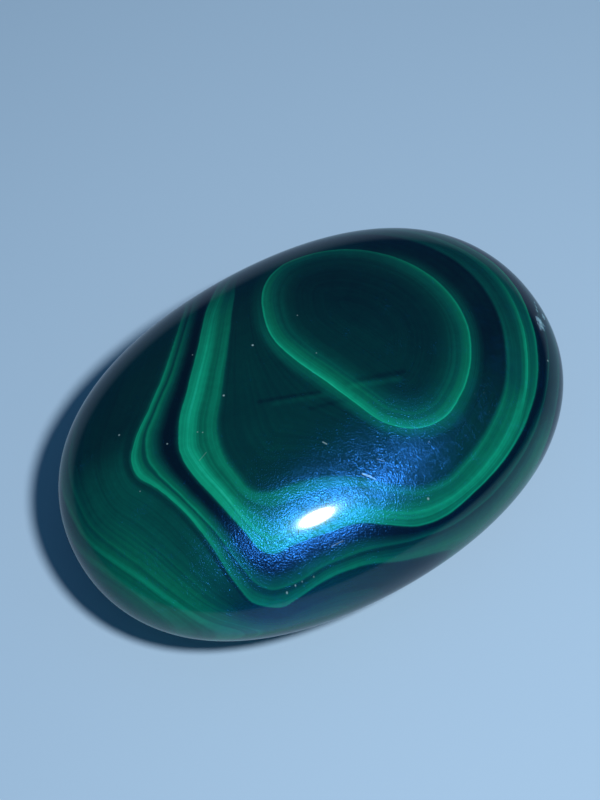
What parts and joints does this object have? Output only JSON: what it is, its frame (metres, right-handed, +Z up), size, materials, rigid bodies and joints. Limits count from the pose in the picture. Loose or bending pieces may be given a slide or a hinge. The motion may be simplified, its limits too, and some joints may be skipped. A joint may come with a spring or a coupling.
{
  "type": "palm stone",
  "caption": "Polished banded green malachite palm stone, a flattened oval pebble that rests on a small flat spot.",
  "frame": {"origin": "on the plane of the small flat spot that the stone rests on, under the middle of its box", "axes": "+X along the stone's length, towards the end with the chipped shoulder; +Y across its width; +Z up through its thickness"},
  "size_m": [0.062, 0.043, 0.0232],
  "materials": {
    "polished_malachite": "high polish, dark green with paler green growth bands"
  },
  "bodies": {
    "root": {"stone": "polished_malachite"}
  },
  "joints": []
}
